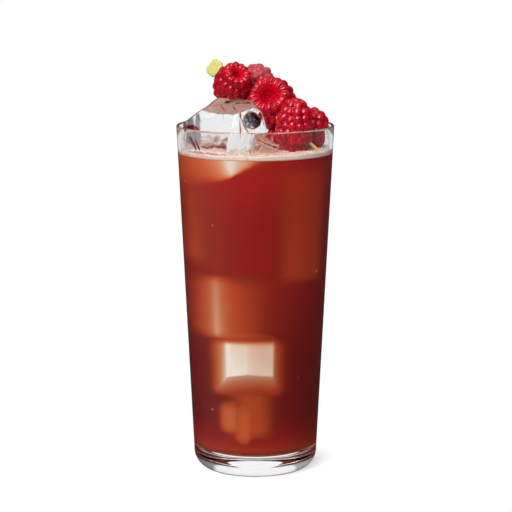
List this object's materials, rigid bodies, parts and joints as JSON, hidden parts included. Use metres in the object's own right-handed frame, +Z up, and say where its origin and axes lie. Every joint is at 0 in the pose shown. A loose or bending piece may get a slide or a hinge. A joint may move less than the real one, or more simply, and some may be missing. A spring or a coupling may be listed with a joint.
{
  "type": "prince of wales punch",
  "caption": "Tall tapered tumbler of iced red punch, topped with froth, clear ice and raspberries on a bamboo pick.",
  "frame": {"origin": "middle of the ring that the tumbler stands on, at its base", "axes": "+Z up along the tumbler's axis, -Y towards the side shown in the picture, +X to that view's right"},
  "size_m": [0.072, 0.072, 0.189],
  "materials": {
    "clear_glass": "clear, polished",
    "punch": "wet and slightly cloudy",
    "froth": "fine wet bubbles",
    "clear_ice": "clear and wet, with cracks and small bubbles",
    "raspberry_flesh": "soft, with a light down",
    "bamboo": "smooth, with fine straight grain"
  },
  "bodies": {
    "root": {"glass": "clear_glass", "drink": "punch", "froth": "froth", "ice_block": "clear_ice", "ice_corner": "clear_ice", "ice_rear": "clear_ice", "raspberry_upper": "raspberry_flesh", "raspberry_back": "raspberry_flesh", "raspberry_middle": "raspberry_flesh", "raspberry_low": "raspberry_flesh", "raspberry_front": "raspberry_flesh", "raspberry_side": "raspberry_flesh", "pick": "bamboo"}
  },
  "joints": []
}
